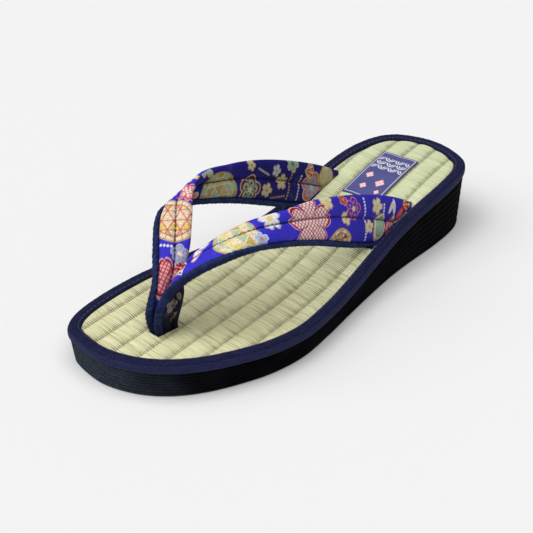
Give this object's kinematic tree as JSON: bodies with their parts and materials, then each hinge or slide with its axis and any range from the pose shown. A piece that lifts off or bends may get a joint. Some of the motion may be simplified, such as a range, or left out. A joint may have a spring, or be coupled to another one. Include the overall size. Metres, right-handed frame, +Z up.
{
  "type": "zori sandal",
  "caption": "Low wedge zori sandal with a woven rush footbed, bound cloth edge and padded printed thong straps with corded piping.",
  "frame": {"origin": "middle of the box around the sandal, on the floor plane", "axes": "+Y from toe to heel, +X to the wearer's left (the little-toe side), +Z up"},
  "size_m": [0.0943, 0.2452, 0.0693],
  "materials": {
    "sole_foam": "matte",
    "rush": "matte",
    "binding_cloth": "matte",
    "strap_print": "matte",
    "piping_cloth": "matte",
    "label_cloth": "matte"
  },
  "bodies": {
    "root": {"sole": "sole_foam", "mat": "rush", "edge_binding": "binding_cloth", "hanao": "strap_print", "piping_outer": "piping_cloth", "piping_inner": "piping_cloth", "label": "label_cloth"}
  },
  "joints": []
}
